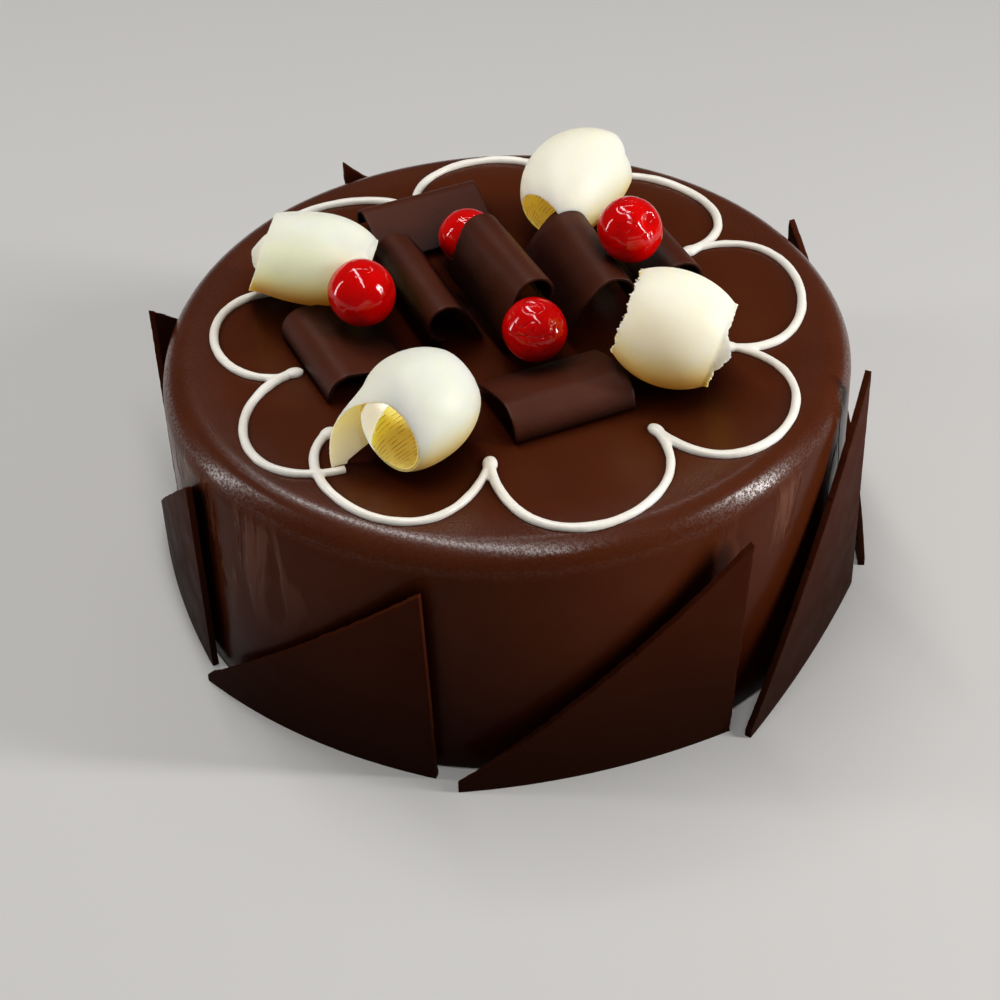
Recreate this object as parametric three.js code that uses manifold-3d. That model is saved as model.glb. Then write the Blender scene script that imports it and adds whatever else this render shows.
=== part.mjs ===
// A round chocolate gateau: a glazed cake with nine piped white petals on top,
// eight dark chocolate shards round its wall, and a pile of dark chocolate
// rolls, white chocolate rolls and glazed cherries in the middle.
//
// Millimetres, +Z up. The origin is the centre of the cake's foot, and -Y is
// the front. Azimuths turn from +X towards +Y, in degrees.

import * as THREE from "three";
import { mergeVertices } from "three/addons/utils/BufferGeometryUtils.js";
import Module from "manifold-3d";

const wasm = await Module();
wasm.setup();

// Driving dimensions of the cake
const CAKE_RADIUS = 101.5;
const CAKE_HEIGHT = 80;
const EDGE_ROUNDING = 9;
const FRONT_SLUMP = 2;
const FOOT_SPREAD = 1.5;
const FOOT_ROUNDING = 1;
const CAKE_SIDES = 80;

// Driving dimensions of the piped line
const LINE_WIDTH = 2.8;
const LINE_HEIGHT = 2.6;
const LINE_SUNK = 1.1;
const LINE_STEPS = 16;
const LINE_SIDES = 7;
const HEAD_LENGTH = 6.4;
const HEAD_WIDTH = 4.3;

// Driving dimensions of the chocolate pieces and cherries
const DARK_SHEET = 1.8;
const WHITE_SHEET = 1.6;
const SHARD_SHEET = 1.9;

const glaze = new THREE.MeshStandardMaterial({ color: 0x4a1f12, roughness: 0.18, metalness: 0 });
const darkChocolate = new THREE.MeshStandardMaterial({ color: 0x46221a, roughness: 0.42, metalness: 0 });
const whiteChocolate = new THREE.MeshStandardMaterial({ color: 0xf3f0dc, roughness: 0.45, metalness: 0 });
const cherryRed = new THREE.MeshStandardMaterial({ color: 0xb00404, roughness: 0.12, metalness: 0 });

const radians = THREE.MathUtils.degToRad;

function polar(azimuth, radius, height = 0) {
  const angle = radians(azimuth);
  return new THREE.Vector3(radius * Math.cos(angle), radius * Math.sin(angle), height);
}

// Joins and cuts

function toSolid(geometry) {
  const bare = geometry.clone();
  bare.deleteAttribute("normal");
  bare.deleteAttribute("uv");
  const merged = mergeVertices(bare, 1e-4);
  return new wasm.Manifold(new wasm.Mesh({
    numProp: 3,
    vertProperties: merged.attributes.position.array,
    triVerts: new Uint32Array(merged.index.array),
  }));
}

function toGeometry(solid) {
  const mesh = solid.getMesh();
  const geometry = new THREE.BufferGeometry();
  geometry.setAttribute("position", new THREE.BufferAttribute(mesh.vertProperties, 3));
  geometry.setIndex(new THREE.BufferAttribute(mesh.triVerts, 1));
  geometry.computeVertexNormals();
  return geometry;
}

function named(name, geometry, material) {
  const mesh = new THREE.Mesh(geometry, material);
  mesh.name = name;
  return mesh;
}

// Moves every vertex by a function of its place.
function reshape(geometry, move) {
  const places = geometry.attributes.position;
  const point = new THREE.Vector3();
  for (let i = 0; i < places.count; i += 1) {
    point.fromBufferAttribute(places, i);
    move(point);
    places.setXYZ(i, point.x, point.y, point.z);
  }
  return geometry;
}

// Cake body: a flat foot, a wall that spreads a little towards the foot, and
// a rounded top edge where the glaze ran over, softer at the front

function cakeProfile() {
  const profile = [new THREE.Vector2(0, 0)];
  const footRadius = CAKE_RADIUS + FOOT_SPREAD;
  profile.push(new THREE.Vector2(footRadius - FOOT_ROUNDING, 0));
  profile.push(new THREE.Vector2(footRadius, FOOT_ROUNDING));
  profile.push(new THREE.Vector2(CAKE_RADIUS + 0.4 * FOOT_SPREAD, CAKE_HEIGHT * 0.35));
  const bends = 5;
  for (let i = 0; i <= bends; i += 1) {
    const angle = (i / bends) * (Math.PI / 2);
    profile.push(new THREE.Vector2(
      CAKE_RADIUS - EDGE_ROUNDING * (1 - Math.cos(angle)),
      CAKE_HEIGHT - EDGE_ROUNDING * (1 - Math.sin(angle)),
    ));
  }
  profile.push(new THREE.Vector2(CAKE_RADIUS * 0.45, CAKE_HEIGHT));
  profile.push(new THREE.Vector2(0, CAKE_HEIGHT));
  return profile;
}

function slumpEdge(point) {
  const radius = Math.hypot(point.x, point.y);
  const inward = CAKE_RADIUS - radius;
  const down = CAKE_HEIGHT - point.z;
  if (inward < 0 || inward > EDGE_ROUNDING + 0.01 || down > EDGE_ROUNDING + 0.01) {
    return;
  }
  const front = Math.max(0, -point.y / radius);
  const growth = 1 + (FRONT_SLUMP / EDGE_ROUNDING) * front;
  const scale = (CAKE_RADIUS - inward * growth) / radius;
  point.set(point.x * scale, point.y * scale, CAKE_HEIGHT - down * growth);
}

function handSmoothed(point) {
  const angle = Math.atan2(point.y, point.x);
  const wobble = 0.5 * Math.sin(2 * angle + 0.6) + 0.3 * Math.sin(5 * angle + point.z / 30);
  const radius = Math.hypot(point.x, point.y);
  if (radius > 1) {
    const scale = 1 + (wobble * Math.min(1, radius / CAKE_RADIUS)) / radius;
    point.x *= scale;
    point.y *= scale;
  }
}

function cakeBody() {
  const geometry = new THREE.LatheGeometry(cakeProfile(), CAKE_SIDES);
  geometry.rotateX(Math.PI / 2);
  reshape(geometry, slumpEdge);
  reshape(geometry, handSmoothed);
  return toSolid(geometry);
}

// Piped petals: each is one squeezed line from cusp to cusp. `from` and `to`
// are azimuth and radius; `reach` and `flare` are how far and how much to the
// outside the line sets off from each end.

const PETALS = [
  { from: [348.1, 67.2], to: [32.6, 66.5], reach: [33, 46], flare: [1, -8] },
  { from: [31.9, 68.3], to: [72.5, 65], reach: [38, 45], flare: [0, 3] },
  { from: [72.5, 65], to: [113, 65], reach: [45, 39], flare: [-7, -4] },
  { from: [113, 65], to: [156, 66], reach: [28, 50], flare: [-1, -16] },
  { from: [160.8, 64.5], to: [198.1, 66.5], reach: [37, 28], flare: [-9, -9] },
  { from: [197, 65.4], to: [234.4, 77.5], reach: [25, 33], flare: [-16, -37] },
  { from: [223, 70], to: [264.7, 64.5], reach: [26, 50], flare: [-13, -12] },
  { from: [265, 64.3], to: [308.6, 65], reach: [52, 36], flare: [-14, -9] },
  { from: [308.9, 66.4], to: [348.1, 66.8], reach: [43, 40], flare: [3, -9] },
];

const LINE_LEVEL = CAKE_HEIGHT + LINE_HEIGHT / 2 - LINE_SUNK;

function pipedLine(petal) {
  const start = polar(petal.from[0], petal.from[1], LINE_LEVEL);
  const end = polar(petal.to[0], petal.to[1], LINE_LEVEL);
  const path = new THREE.CubicBezierCurve3(
    start,
    start.clone().add(polar(petal.from[0] - petal.flare[0], petal.reach[0])),
    end.clone().add(polar(petal.to[0] + petal.flare[1], petal.reach[1])),
    end,
  );
  const section = new THREE.Shape();
  section.absellipse(0, 0, LINE_HEIGHT / 2, LINE_WIDTH / 2, 0, 2 * Math.PI);
  const outline = new THREE.Shape(section.getSpacedPoints(LINE_SIDES).slice(0, LINE_SIDES));
  const geometry = new THREE.ExtrudeGeometry(outline, { steps: LINE_STEPS, extrudePath: path });
  return toSolid(geometry);
}

// The drop of icing where the nozzle started a petal
function pipedHead(azimuth, radius) {
  const geometry = new THREE.SphereGeometry(0.5, 10, 6);
  geometry.rotateX(Math.PI / 2);
  geometry.scale(HEAD_LENGTH, HEAD_WIDTH, LINE_HEIGHT * 1.15);
  geometry.rotateZ(radians(azimuth));
  const centre = polar(azimuth, radius, LINE_LEVEL);
  geometry.translate(centre.x, centre.y, centre.z);
  return toSolid(geometry);
}

function pipedCake() {
  let solid = cakeBody();
  for (const petal of PETALS) {
    solid = solid.add(pipedLine(petal));
    solid = solid.add(pipedHead(petal.from[0], petal.from[1] - 1));
  }
  return toGeometry(solid);
}

// Shards: each is a bent sheet cut to a triangle. It stands on its long edge,
// runs round the wall from a low tip to its tall edge, and clears the wall.

const SHARDS = [
  { tip: 214.0, tipRadius: 110, tall: 257.2, tallRadius: 106.6, height: 70, sweep: -1.5 },
  { tip: 260.8, tipRadius: 110.8, tall: 303.9, tallRadius: 107.6, height: 69.5, sweep: 5 },
  { tip: 305.2, tipRadius: 113.5, tall: 344.2, tallRadius: 107, height: 82, sweep: 0 },
  { tip: 348.6, tipRadius: 110, tall: 31.6, tallRadius: 107, height: 77, sweep: 0 },
  { tip: 34.5, tipRadius: 110, tall: 73, tallRadius: 106.6, height: 68, sweep: 0 },
  { tip: 77, tipRadius: 110, tall: 118.4, tallRadius: 107, height: 79.5, sweep: 0 },
  { tip: 127, tipRadius: 110, tall: 170.5, tallRadius: 108, height: 78, sweep: 0 },
  { tip: 171.5, tipRadius: 112.5, tall: 211.8, tallRadius: 106, height: 70, sweep: 0 },
];

const WALL_CLEARANCE = 1.6;
const BEND_STEPS = 8;
const STRIP_RUN_ON = 7;

// A plan-view arc from the tip to the tall edge that clears the wall between
function bendLine(shard) {
  const tip = polar(shard.tip, shard.tipRadius);
  const tall = polar(shard.tall, shard.tallRadius);
  const middle = tip.clone().add(tall).multiplyScalar(0.5);
  const clear = CAKE_RADIUS + FOOT_SPREAD + WALL_CLEARANCE + SHARD_SHEET / 2;
  const sag = Math.max(1, clear - middle.length());
  const control = middle.clone().setLength(middle.length() + 2 * sag);
  return new THREE.QuadraticBezierCurve3(tip, control, tall);
}

function shardGeometry(shard) {
  const line = bendLine(shard);
  const outer = [];
  const inner = [];
  for (let i = 0; i <= BEND_STEPS; i += 1) {
    const u = i / BEND_STEPS;
    const point = line.getPoint(u);
    const along = line.getTangent(u);
    const outwards = new THREE.Vector3(along.y, -along.x, 0).multiplyScalar(SHARD_SHEET / 2);
    outer.push(new THREE.Vector2(point.x + outwards.x, point.y + outwards.y));
    inner.unshift(new THREE.Vector2(point.x - outwards.x, point.y - outwards.y));
  }
  const onwards = line.getTangent(1).multiplyScalar(STRIP_RUN_ON);
  outer.push(outer.at(-1).clone().add(onwards));
  inner.unshift(inner[0].clone().add(onwards));
  const sheet = new THREE.ExtrudeGeometry(new THREE.Shape([...outer, ...inner]), {
    depth: shard.height + 5,
    bevelEnabled: false,
  });
  sheet.translate(0, 0, -1);

  const tip = line.getPoint(0);
  const tall = line.getPoint(1);
  const width = tip.distanceTo(tall);
  const outline = new THREE.Shape();
  outline.moveTo(0, 0);
  outline.lineTo(width, 0);
  outline.lineTo(width + shard.sweep, shard.height);
  outline.quadraticCurveTo(width * 0.51, shard.height * 0.51, 0, 2.5);
  const reachThrough = 40;
  const cutter = new THREE.ExtrudeGeometry(outline, {
    depth: reachThrough,
    bevelEnabled: false,
    curveSegments: 5,
  });
  cutter.rotateX(Math.PI / 2);
  cutter.translate(0, reachThrough / 2, 0);
  cutter.rotateZ(Math.atan2(tall.y - tip.y, tall.x - tip.x));
  cutter.translate(tip.x, tip.y, 0);
  return toGeometry(toSolid(sheet).intersect(toSolid(cutter)));
}

// Curls: a dark chocolate sheet bent into a J. Its section is an arc round an
// axis, from angle `from` to angle `to` with 90 at the top, and a gently bent
// tail that runs on from the arc's start. `hand` -1 puts the tail on the left
// of the axis's heading seen from above, and 1 on the right.

const DARK_CURLS = [
  { at: [-25.2, 55.4, 84.8], heading: 22.3, hand: -1, length: 38, radius: 5.8, from: 70, to: 195, tail: 17 },
  { at: [-25.2, 10, 89.6], heading: -67.5, hand: 1, length: 40, radius: 5.9, from: 35, to: 290, tail: 13 },
  { at: [-52.2, -14.8, 82.1], heading: -65.8, hand: 1, length: 37, radius: 6.7, from: 82, to: 188, tail: 20 },
  { at: [1.1, 7, 98.2], heading: -65.5, hand: -1, length: 37.5, radius: 6.3, from: 25, to: 215, tail: 16 },
  { at: [25.3, 13, 93.5], heading: -71, hand: -1, length: 40, radius: 7, from: 45, to: 205, tail: 15 },
  { at: [45.8, 23.7, 88], heading: -67, hand: -1, length: 34, radius: 7.4, from: 50, to: 225, tail: 8 },
  { at: [15.4, -39.7, 82.3], heading: 22.5, hand: 1, length: 37, radius: 6.6, from: 80, to: 192, tail: 19 },
];

const TAIL_BEND = 60;
const TAIL_STEPS = 4;
const CURL_ARC_STEPS = 14;

// One face of the bent sheet, `radius` from the arc's axis, tail end first
function curlFace(curl, radius) {
  const face = [];
  const start = radians(curl.from);
  const bend = TAIL_BEND - curl.radius + radius;
  const centre = new THREE.Vector2(Math.cos(start), Math.sin(start)).multiplyScalar(radius - bend);
  const turn = Math.sign(curl.to - curl.from);
  for (let i = TAIL_STEPS; i > 0; i -= 1) {
    const angle = start - (turn * (i / TAIL_STEPS) * curl.tail) / TAIL_BEND;
    const point = new THREE.Vector2(Math.cos(angle), Math.sin(angle)).multiplyScalar(bend);
    face.push(point.add(centre));
  }
  for (let i = 0; i <= CURL_ARC_STEPS; i += 1) {
    const angle = start + (i / CURL_ARC_STEPS) * radians(curl.to - curl.from);
    face.push(new THREE.Vector2(Math.cos(angle), Math.sin(angle)).multiplyScalar(radius));
  }
  return face;
}

function curlGeometry(curl) {
  const outer = curlFace(curl, curl.radius);
  const inner = curlFace(curl, curl.radius - DARK_SHEET).reverse();
  const geometry = new THREE.ExtrudeGeometry(new THREE.Shape([...outer, ...inner]), {
    depth: curl.length,
    steps: 1,
    bevelEnabled: false,
  });
  geometry.translate(0, 0, -curl.length / 2);
  return reshape(geometry, (point) => point.set(point.z * curl.hand, point.x * curl.hand, point.y));
}

// Rolls: a white chocolate sheet rolled up from inside angle `from` to outside
// angle `to`, with the two radii there. `waist` is the radius at the ends as a
// share of the middle's, `slant` leans the cut ends, `slide` pushes the inner
// turns out of one end, and `open` lifts the last quarter turn off the roll.

const WHITE_ROLLS = [
  {
    at: [-54.4, 14.9, 95.5], heading: -14, tilt: -1, length: 28.6, waist: 0.74,
    from: 740, to: 285, radius: [10.5, 14.9], slant: -0.1, slide: -4, open: 0,
  },
  {
    at: [23.2, 50.3, 98.1], heading: 47, tilt: 14, length: 38.5, waist: 0.54,
    from: -150, to: 280, radius: [11.5, 16.4], slant: 0.2, slide: 0, open: 0,
  },
  {
    at: [-25.4, -56.7, 96], heading: 46.5, tilt: 0, length: 28, waist: 0.7,
    from: 430, to: -42, radius: [12.3, 16.2], slant: 0.2, slide: 0, open: 6,
  },
  {
    at: [47.4, -27.6, 99], heading: -16, tilt: -16, length: 27.4, waist: 0.74,
    from: -170, to: 280, radius: [12, 18], slant: 0, slide: 3, open: 0,
  },
];

const ROLL_ARC_STEPS = 30;
const ROLL_LENGTH_STEPS = 6;
const OPENING_SHARE = 0.2;

// The roll's outer radius at share t of the way along its sheet, 0 being inside
function rollRadius(roll, t) {
  const lifted = Math.max(0, (t - (1 - OPENING_SHARE)) / OPENING_SHARE);
  return roll.radius[0] + t * (roll.radius[1] - roll.radius[0]) + roll.open * lifted * lifted;
}

function rollGeometry(roll) {
  const outer = [];
  const inner = [];
  for (let i = 0; i <= ROLL_ARC_STEPS; i += 1) {
    const t = i / ROLL_ARC_STEPS;
    const angle = radians(roll.from + t * (roll.to - roll.from));
    const spoke = new THREE.Vector2(Math.cos(angle), Math.sin(angle));
    const radius = rollRadius(roll, t);
    outer.push(spoke.clone().multiplyScalar(radius));
    inner.unshift(spoke.clone().multiplyScalar(radius - WHITE_SHEET));
  }
  const geometry = new THREE.ExtrudeGeometry(new THREE.Shape([...outer, ...inner]), {
    depth: roll.length,
    steps: ROLL_LENGTH_STEPS,
    bevelEnabled: false,
  });
  geometry.translate(0, 0, -roll.length / 2);
  return reshape(geometry, (point) => {
    const along = point.z / (roll.length / 2);
    const depth = (roll.radius[1] - Math.hypot(point.x, point.y)) / (roll.radius[1] - roll.radius[0]);
    const pushed = roll.slide * THREE.MathUtils.clamp(depth, 0, 1);
    const swell = Math.sqrt(1 - (1 - roll.waist ** 2) * along * along);
    point.set(point.z - roll.slant * point.x + pushed, point.x * swell, point.y * swell);
  });
}

// Lays a curl or roll with its axis along `heading`, its far end up by `tilt`.
function laid(mesh, piece) {
  mesh.position.set(...piece.at);
  mesh.rotation.order = "ZYX";
  mesh.rotation.set(0, -radians(piece.tilt ?? 0), radians(piece.heading));
  return mesh;
}

// Cherries: glazed, a little flattened, each with a dimple where the stem was

const CHERRIES = [
  { at: [-40.9, -5.5, 98.5], radius: 9.9, dimple: [20, -30] },
  { at: [-10.3, 34.4, 89.4], radius: 9, dimple: [0, 0] },
  { at: [37.3, 9.4, 106.9], radius: 9.7, dimple: [40, 50] },
  { at: [8.4, -20.7, 94.3], radius: 9.3, dimple: [0, 0] },
];

function cherryGeometry(cherry) {
  const geometry = new THREE.SphereGeometry(cherry.radius, 16, 12);
  geometry.rotateX(Math.PI / 2);
  return reshape(geometry, (point) => {
    const across = Math.hypot(point.x, point.y) / cherry.radius;
    if (point.z > 0) {
      point.z -= 2.2 * Math.exp(-((across / 0.28) ** 2));
    }
    point.z *= 0.96;
  });
}

const cake = new THREE.Group();
cake.add(named("cake", pipedCake(), glaze));

SHARDS.forEach((shard, i) => {
  cake.add(named(`shard_${i + 1}`, shardGeometry(shard), darkChocolate));
});

DARK_CURLS.forEach((curl, i) => {
  cake.add(laid(named(`dark_curl_${i + 1}`, curlGeometry(curl), darkChocolate), curl));
});

WHITE_ROLLS.forEach((roll, i) => {
  cake.add(laid(named(`white_roll_${i + 1}`, rollGeometry(roll), whiteChocolate), roll));
});

CHERRIES.forEach((cherry, i) => {
  const mesh = named(`cherry_${i + 1}`, cherryGeometry(cherry), cherryRed);
  mesh.position.set(...cherry.at);
  mesh.rotation.set(radians(cherry.dimple[0]), radians(cherry.dimple[1]), 0);
  cake.add(mesh);
});

export default cake;
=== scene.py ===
import math

import bpy
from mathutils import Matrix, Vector, noise


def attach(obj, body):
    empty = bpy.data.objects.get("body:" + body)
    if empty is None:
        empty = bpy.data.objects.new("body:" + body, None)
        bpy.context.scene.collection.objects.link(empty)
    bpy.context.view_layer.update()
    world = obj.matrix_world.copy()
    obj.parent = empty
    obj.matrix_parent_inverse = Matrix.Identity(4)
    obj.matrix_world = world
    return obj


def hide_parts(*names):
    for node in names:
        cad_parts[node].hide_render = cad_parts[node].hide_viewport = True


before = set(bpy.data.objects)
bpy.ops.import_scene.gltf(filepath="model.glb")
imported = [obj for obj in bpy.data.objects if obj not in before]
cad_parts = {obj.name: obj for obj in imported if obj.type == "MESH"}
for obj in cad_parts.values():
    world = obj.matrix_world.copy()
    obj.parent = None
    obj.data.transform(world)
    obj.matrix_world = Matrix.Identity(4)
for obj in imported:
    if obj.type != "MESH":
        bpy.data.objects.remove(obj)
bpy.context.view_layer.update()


# The studio. A camera with a long lens looks down on the cake from the front.
# A long soft strip hangs over it, two narrow ones stand left and right and a
# faint one behind, over a plain pale floor that runs far past the picture.

bpy.ops.object.camera_add(
    location=(0, -0.546479, 0.482448),
    rotation=[math.radians(turn) for turn in (49.326, 1.720, -1.107)],
)
camera = bpy.context.object
camera.data.lens = 82.56
camera.data.sensor_width = 36
bpy.context.scene.camera = camera

AIMED_AT = Vector((0, 0, 0.08))
WARM_WHITE = (1.0, 0.98, 0.96)
STRIPS = {
    # name: (direction from the cake, distance m, width m, height m, watts)
    "left_strip": ((-0.97, 0.04, 0.22), 1.0, 0.09, 1.05, 4.6),
    "right_strip": ((0.90, -0.20, 0.28), 1.0, 0.09, 0.70, 10.0),
    "back_strip": ((-0.10, 0.50, 0.86), 1.1, 1.00, 0.05, 1.0),
    "overhead": ((-0.05, -0.02, 1.0), 1.3, 2.15, 0.15, 16.9),
}
for name, (direction, distance, width, height, watts) in STRIPS.items():
    towards = Vector(direction).normalized()
    bpy.ops.object.light_add(
        type="AREA",
        location=towards * distance + AIMED_AT,
        rotation=towards.to_track_quat("Z", "Y").to_euler(),
    )
    strip = bpy.context.object
    strip.name = name
    strip.data.shape = "RECTANGLE"
    strip.data.size = width
    strip.data.size_y = height
    strip.data.energy = watts
    strip.data.color = WARM_WHITE

SKY_COLOUR = (0.93, 0.95, 1.0, 1)
SKY_STRENGTH = 0.06
sky = bpy.data.worlds.new("studio_sky")
bpy.context.scene.world = sky
sky.use_nodes = True
sky.node_tree.nodes["Background"].inputs["Color"].default_value = SKY_COLOUR
sky.node_tree.nodes["Background"].inputs["Strength"].default_value = SKY_STRENGTH
bpy.context.scene.view_settings.view_transform = "Standard"

FLOOR_SIZE = 6
FLOOR_COLOUR = (0.50, 0.495, 0.485, 1)
FLOOR_ROUGHNESS = 0.7
bpy.ops.object.select_all(action="DESELECT")
bpy.ops.mesh.primitive_plane_add(size=FLOOR_SIZE)
floor = bpy.context.object
floor.name = "floor"
floor_paint = bpy.data.materials.new("floor_paint")
floor_paint.use_nodes = True
paint = floor_paint.node_tree.nodes["Principled BSDF"].inputs
paint["Base Color"].default_value = FLOOR_COLOUR
paint["Roughness"].default_value = FLOOR_ROUGHNESS
floor.data.materials.append(floor_paint)


# The cake: round and uncut, under one coat of poured chocolate glaze that ran
# over the edge and left it round. It is drawn up ring by ring from the foot,
# then made as uneven as a palette knife leaves it.

MM = 0.001
CAKE_RADIUS = 101.5 * MM
CAKE_HEIGHT = 80 * MM
EDGE_ACROSS = 10 * MM
EDGE_DOWN = 11 * MM
EDGE_FULLNESS = 2.4
EDGE_STEPS = 24
WALL_STEPS = 12
FOOT_SPREAD = 1.5 * MM
FOOT_FLARE = 2.2
FOOT_ROUND = 1.2 * MM
FOOT_SOFT = 0.35 * MM
FOOT_UNTOUCHED = 1.5 * MM
HAIR = 0.01 * MM
CAKE_SIDES = 240
TOP_RINGS = (0.985, 0.96, 0.92, 0.86, 0.78, 0.69, 0.59, 0.48, 0.36, 0.24, 0.12)
KNIFE_WAVES = 38
KNIFE_WAVE = 0.32
KNIFE_RIPPLES = 110
KNIFE_RIPPLE = 0.12
TOP_WAVE = 0.10 * MM


def cake_rings():
    """Radius and height of each ring, from the foot to the middle of the top."""
    foot = CAKE_RADIUS + FOOT_SPREAD
    rings = [(foot - FOOT_ROUND, 0), (foot - FOOT_SOFT, FOOT_SOFT), (foot, FOOT_ROUND)]
    wall_top = CAKE_HEIGHT - EDGE_DOWN
    for step in range(1, WALL_STEPS + 1):
        rise = step / WALL_STEPS
        flare = FOOT_SPREAD * (1 - rise) ** FOOT_FLARE
        rings.append((CAKE_RADIUS + flare, FOOT_ROUND + (wall_top - FOOT_ROUND) * rise))
    for step in range(1, EDGE_STEPS + 1):
        turn = step / EDGE_STEPS * math.pi / 2
        rings.append((
            CAKE_RADIUS - EDGE_ACROSS * (1 - max(0, math.cos(turn)) ** (2 / EDGE_FULLNESS)),
            wall_top + EDGE_DOWN * math.sin(turn) ** (2 / EDGE_FULLNESS),
        ))
    inner = CAKE_RADIUS - EDGE_ACROSS
    for share in TOP_RINGS:
        rings.append((inner * share, CAKE_HEIGHT))
    return rings


def hand_smoothed(point):
    """The same slow wander of the wall that the cake's solid has."""
    angle = math.atan2(point.y, point.x)
    slow = 0.5 * math.sin(2 * angle + 0.6)
    wander = slow + 0.3 * math.sin(5 * angle + point.z / (30 * MM))
    radius = math.hypot(point.x, point.y)
    if radius < 1 * MM:
        return point
    grow = 1 + wander * MM * min(1, radius / CAKE_RADIUS) / radius
    return Vector((point.x * grow, point.y * grow, point.z))


rings = cake_rings()
bpy.ops.object.select_all(action="DESELECT")
bpy.ops.mesh.primitive_circle_add(
    vertices=CAKE_SIDES, radius=rings[0][0], fill_type="NOTHING", enter_editmode=True,
)
cake_body = bpy.context.object
cake_body.name = "cake_body"
for (radius, height), (wider, higher) in zip(rings, rings[1:]):
    bpy.ops.mesh.extrude_region_move(
        TRANSFORM_OT_translate={"value": (0, 0, higher - height)},
    )
    bpy.ops.transform.resize(
        value=(wider / radius, wider / radius, 1), center_override=(0, 0, higher),
    )
bpy.ops.mesh.edge_face_add()
bpy.ops.object.mode_set(mode="OBJECT")
for edge in cake_body.data.edges:
    edge.select = all(cake_body.data.vertices[v].co.z < HAIR for v in edge.vertices)
bpy.ops.object.mode_set(mode="EDIT")
bpy.ops.mesh.edge_face_add()
bpy.ops.mesh.select_all(action="SELECT")
bpy.ops.mesh.normals_make_consistent(inside=False)
bpy.ops.object.mode_set(mode="OBJECT")

for vertex in cake_body.data.vertices:
    place = hand_smoothed(vertex.co)
    radius = math.hypot(place.x, place.y)
    if place.z > FOOT_UNTOUCHED:
        wave = noise.noise(Vector((place.x, place.y, place.z * 0.5)) * KNIFE_WAVES)
        ripple = noise.noise(Vector((place.x, place.y, place.z)) * KNIFE_RIPPLES)
        on_wall = min(1, max(0, (CAKE_HEIGHT - place.z) / EDGE_DOWN))
        swell = (KNIFE_WAVE * wave + KNIFE_RIPPLE * ripple) * MM * on_wall
        place.x *= 1 + swell / radius
        place.y *= 1 + swell / radius
        place.z += TOP_WAVE * wave * (1 - on_wall)
    vertex.co = place
bpy.ops.object.shade_smooth()


def feed(tree, value, socket):
    """Joins an output socket to an input, or sets the input to a value."""
    if isinstance(value, bpy.types.NodeSocket):
        tree.links.new(value, socket)
    else:
        socket.default_value = value


def maths(tree, operation, *values, clamp=False):
    """A sum, a product or the like of sockets and plain numbers."""
    node = tree.nodes.new("ShaderNodeMath")
    node.operation = operation
    node.use_clamp = clamp
    for value, socket in zip(values, node.inputs):
        feed(tree, value, socket)
    return node.outputs["Value"]


def ramp(tree, source, start, end, low=0.0, high=1.0, kind="SMOOTHSTEP"):
    """Goes from low to high as the source goes from start to end."""
    node = tree.nodes.new("ShaderNodeMapRange")
    node.interpolation_type = kind
    labels = ("Value", "From Min", "From Max", "To Min", "To Max")
    for label, value in zip(labels, (source, start, end, low, high)):
        feed(tree, value, node.inputs[label])
    return node.outputs["Result"]


def mottle(tree, place, scale, detail=2, roughness=0.5, distortion=0):
    """Soft noise from 0 to 1, with about scale blobs to the metre."""
    node = tree.nodes.new("ShaderNodeTexNoise")
    labels = ("Vector", "Scale", "Detail", "Roughness", "Distortion")
    for label, value in zip(labels, (place, scale, detail, roughness, distortion)):
        feed(tree, value, node.inputs[label])
    return node.outputs["Fac"]


def blend(tree, share, under, over):
    """Lays one colour over another by a share."""
    node = tree.nodes.new("ShaderNodeMix")
    node.data_type = "RGBA"
    for label, value in (("Factor", share), ("A", under), ("B", over)):
        feed(tree, value, node.inputs[label])
    return node.outputs["Result"]


def stretched(tree, place, scale, lean=0):
    """A place drawn out or drawn in along each axis, and leaned over."""
    node = tree.nodes.new("ShaderNodeMapping")
    node.inputs["Scale"].default_value = scale
    node.inputs["Rotation"].default_value = (lean, lean, 0)
    feed(tree, place, node.inputs["Vector"])
    return node.outputs["Vector"]


def split(tree, place):
    """The X, Y and Z of a place."""
    node = tree.nodes.new("ShaderNodeSeparateXYZ")
    feed(tree, place, node.inputs["Vector"])
    return node.outputs


def start_group(name, inputs, outputs):
    """A new shader group with its named sockets, all numbers but the colours,
    and the sockets that stand for its two ends inside it."""
    group = bpy.data.node_groups.new(name, "ShaderNodeTree")
    for label, value in inputs.items():
        kind = "NodeSocketColor" if isinstance(value, tuple) else "NodeSocketFloat"
        socket = group.interface.new_socket(name=label, in_out="INPUT", socket_type=kind)
        socket.default_value = value
    for label in outputs:
        kind = "NodeSocketColor" if label == "Colour" else "NodeSocketFloat"
        group.interface.new_socket(name=label, in_out="OUTPUT", socket_type=kind)
    given = group.nodes.new("NodeGroupInput").outputs
    result = group.nodes.new("NodeGroupOutput").inputs
    return group, given, result


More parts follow.
